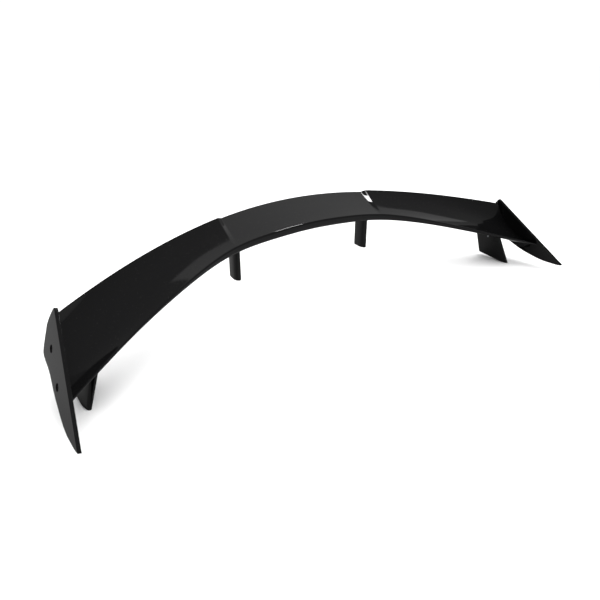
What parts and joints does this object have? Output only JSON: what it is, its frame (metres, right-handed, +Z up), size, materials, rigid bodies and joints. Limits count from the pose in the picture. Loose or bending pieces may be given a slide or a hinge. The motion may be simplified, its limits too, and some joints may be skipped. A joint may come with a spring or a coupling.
{
  "type": "car rear wing",
  "caption": "Full-width rear wing for a coupe: hollow three-panel blade with canted, bolted end plates, standing on upright inner legs and leaning outer legs.",
  "frame": {"origin": "on the centre plane, at the middle of the wing's depth, level with the lowest edge of the outer foot pads", "axes": "+X along the span to the right side, +Y to the trailing edge (the rear of the car), +Z up"},
  "size_m": [1.6012, 0.4446, 0.287],
  "materials": {
    "gloss_black": "moulded plastic in gloss black, polished",
    "matt_black": "moulded plastic, fine matt grain",
    "black_steel": "blackened steel, semi-gloss",
    "zinc": "bright zinc plate",
    "brass": "turned",
    "foam": "closed-cell foam, matt"
  },
  "bodies": {
    "root": {"blade_upper_skin": "gloss_black", "blade_lower_skin": "gloss_black", "right_end_plate": "gloss_black", "left_end_plate": "gloss_black", "right_inner_leg": "gloss_black", "left_inner_leg": "gloss_black", "right_outer_leg": "gloss_black", "left_outer_leg": "gloss_black", "right_tip_rib": "matt_black", "left_tip_rib": "matt_black", "right_end_plate_bolt_1": "black_steel", "left_end_plate_bolt_1": "black_steel", "right_end_plate_bolt_2": "black_steel", "left_end_plate_bolt_2": "black_steel", "right_end_plate_washer_1": "zinc", "left_end_plate_washer_1": "zinc", "right_end_plate_washer_2": "zinc", "left_end_plate_washer_2": "zinc", "right_inner_leg_screw_1": "zinc", "left_inner_leg_screw_1": "zinc", "right_inner_leg_screw_2": "zinc", "left_inner_leg_screw_2": "zinc", "right_outer_leg_screw_1": "zinc", "left_outer_leg_screw_1": "zinc", "right_outer_leg_screw_2": "zinc", "left_outer_leg_screw_2": "zinc", "right_inner_leg_backing_plate": "zinc", "left_inner_leg_backing_plate": "zinc", "right_outer_leg_backing_plate": "zinc", "left_outer_leg_backing_plate": "zinc", "right_end_plate_insert_1": "brass", "left_end_plate_insert_1": "brass", "right_end_plate_insert_2": "brass", "left_end_plate_insert_2": "brass", "right_inner_leg_foot_insert_1": "brass", "left_inner_leg_foot_insert_1": "brass", "right_inner_leg_foot_insert_2": "brass", "left_inner_leg_foot_insert_2": "brass", "right_outer_leg_foot_insert_1": "brass", "left_outer_leg_foot_insert_1": "brass", "right_outer_leg_foot_insert_2": "brass", "left_outer_leg_foot_insert_2": "brass", "right_inner_leg_pad": "foam", "left_inner_leg_pad": "foam", "right_outer_leg_pad": "foam", "left_outer_leg_pad": "foam"}
  },
  "joints": []
}
